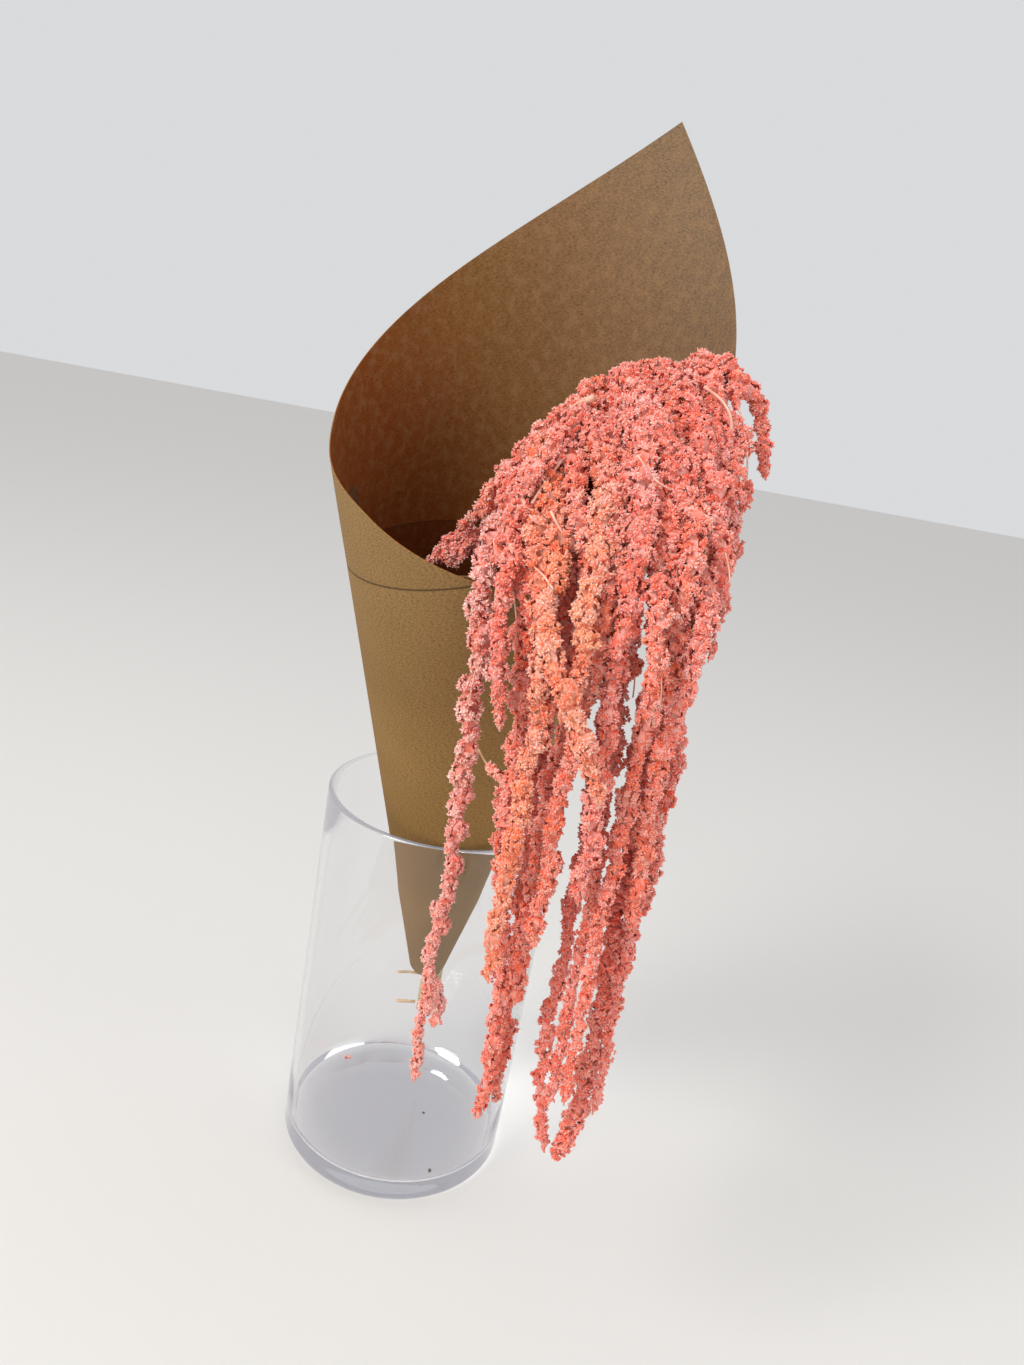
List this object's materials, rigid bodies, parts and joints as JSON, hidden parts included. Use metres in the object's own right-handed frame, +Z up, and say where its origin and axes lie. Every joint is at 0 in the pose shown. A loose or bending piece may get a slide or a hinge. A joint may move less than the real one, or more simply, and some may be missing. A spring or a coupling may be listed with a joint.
{
  "type": "dried amaranth",
  "caption": "Dried hanging amaranth in a rolled kraft-paper cone that leans in a clear glass cylinder vase, its tassels falling over the lip.",
  "frame": {"origin": "middle of the vase's flat underside", "axes": "+Z up; the paper cone leans towards -Y, and the tassels hang on the -Y and +X side"},
  "size_m": [0.2009, 0.3232, 0.6399],
  "materials": {
    "clear_glass": "clear, smooth",
    "kraft_paper": "matt brown kraft with fine fibres",
    "dried_amaranth": "matt, soft and ragged, salmon pink"
  },
  "bodies": {
    "root": {"glass_vase": "clear_glass", "paper_cone": "kraft_paper", "amaranth_stem_1": "dried_amaranth", "amaranth_stem_2": "dried_amaranth", "amaranth_stem_3": "dried_amaranth", "amaranth_stem_4": "dried_amaranth", "amaranth_stem_5": "dried_amaranth"}
  },
  "joints": []
}
